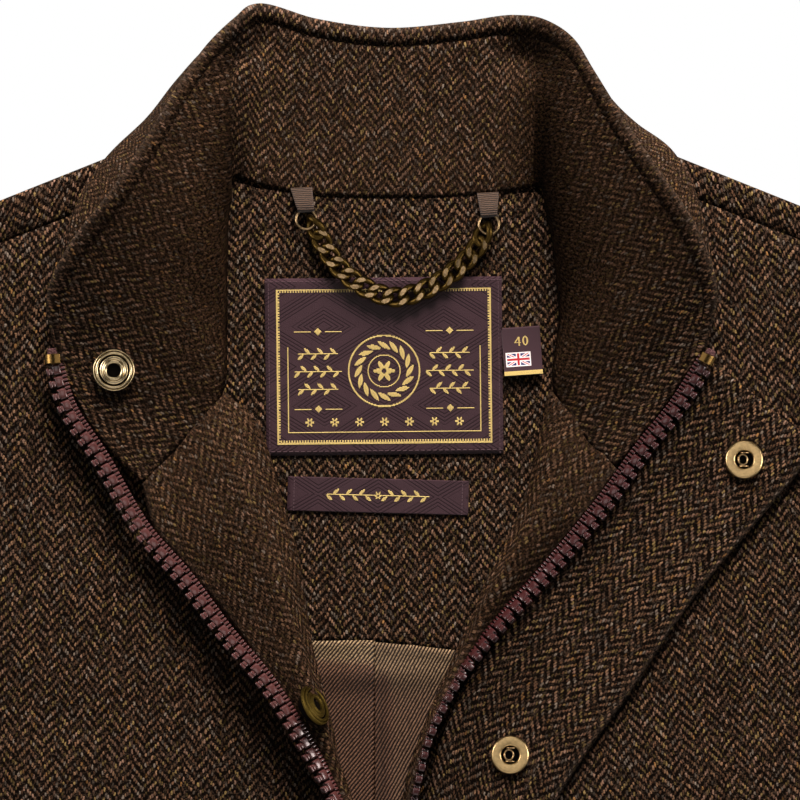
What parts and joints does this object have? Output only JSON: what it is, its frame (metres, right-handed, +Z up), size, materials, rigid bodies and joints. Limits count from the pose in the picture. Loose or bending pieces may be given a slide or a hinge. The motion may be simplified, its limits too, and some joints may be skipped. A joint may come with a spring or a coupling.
{
  "type": "tweed vest",
  "caption": "Stand-collar tweed vest lying flat on its back, zip half open and fronts turned out, with a snap placket, lining, labels and chain hanger.",
  "frame": {"origin": "centre of the vest's outline, on the surface that it lies on", "axes": "+X to the wearer's left, +Y from hem to collar, +Z up from the surface, away from the vest's back"},
  "size_m": [0.54, 0.7566, 0.0335],
  "materials": {
    "tweed": "dark brown herringbone wool tweed, matt and hairy",
    "tweed_inside": "the same tweed where the inner layers face up",
    "twill_lining": "brown twill lining with a soft sheen",
    "woven_label": "dark aubergine woven label with gold thread",
    "grosgrain": "taupe ribbed tape",
    "antique_brass": "antiqued brass with bright worn edges",
    "moulded_zip": "oxblood moulded plastic teeth"
  },
  "bodies": {
    "vest": {"back": "tweed", "right_front": "tweed", "left_front": "tweed", "collar_outer": "tweed", "collar_inner": "tweed_inside", "back_facing": "tweed_inside", "right_facing": "tweed_inside", "left_facing": "tweed_inside", "placket_flap": "tweed_inside", "back_lining": "twill_lining", "main_label": "woven_label", "lower_label": "woven_label", "size_tab": "woven_label", "right_hanger_loop": "grosgrain", "left_hanger_loop": "grosgrain", "right_ring": "antique_brass", "left_ring": "antique_brass", "chain_link_01": "antique_brass", "chain_link_02": "antique_brass", "chain_link_03": "antique_brass", "chain_link_04": "antique_brass", "chain_link_05": "antique_brass", "chain_link_06": "antique_brass", "chain_link_07": "antique_brass", "chain_link_08": "antique_brass", "chain_link_09": "antique_brass", "chain_link_10": "antique_brass", "chain_link_11": "antique_brass", "chain_link_12": "antique_brass", "chain_link_13": "antique_brass", "chain_link_14": "antique_brass", "chain_link_15": "antique_brass", "right_zip_chain": "moulded_zip", "left_zip_chain": "moulded_zip", "right_top_stop": "antique_brass", "left_top_stop": "antique_brass", "zip_slider": "antique_brass", "zip_bottom_box": "antique_brass", "snap_socket_1": "antique_brass", "snap_socket_2": "antique_brass", "snap_socket_3": "antique_brass", "snap_socket_4": "antique_brass", "snap_socket_5": "antique_brass", "snap_eyelet_1": "antique_brass", "snap_eyelet_2": "antique_brass", "snap_stud_3": "antique_brass", "snap_stud_4": "antique_brass", "snap_stud_5": "antique_brass"},
    "pull_tab": {"zip_pull_tab": "antique_brass"}
  },
  "joints": [
    {"name": "pull_tab_swing", "type": "hinge", "parent": "vest", "child": "pull_tab", "pos_m": [0, 0.02573, 0.0182], "axis": [-1, 0, 0], "range_deg": [0, 150]}
  ]
}
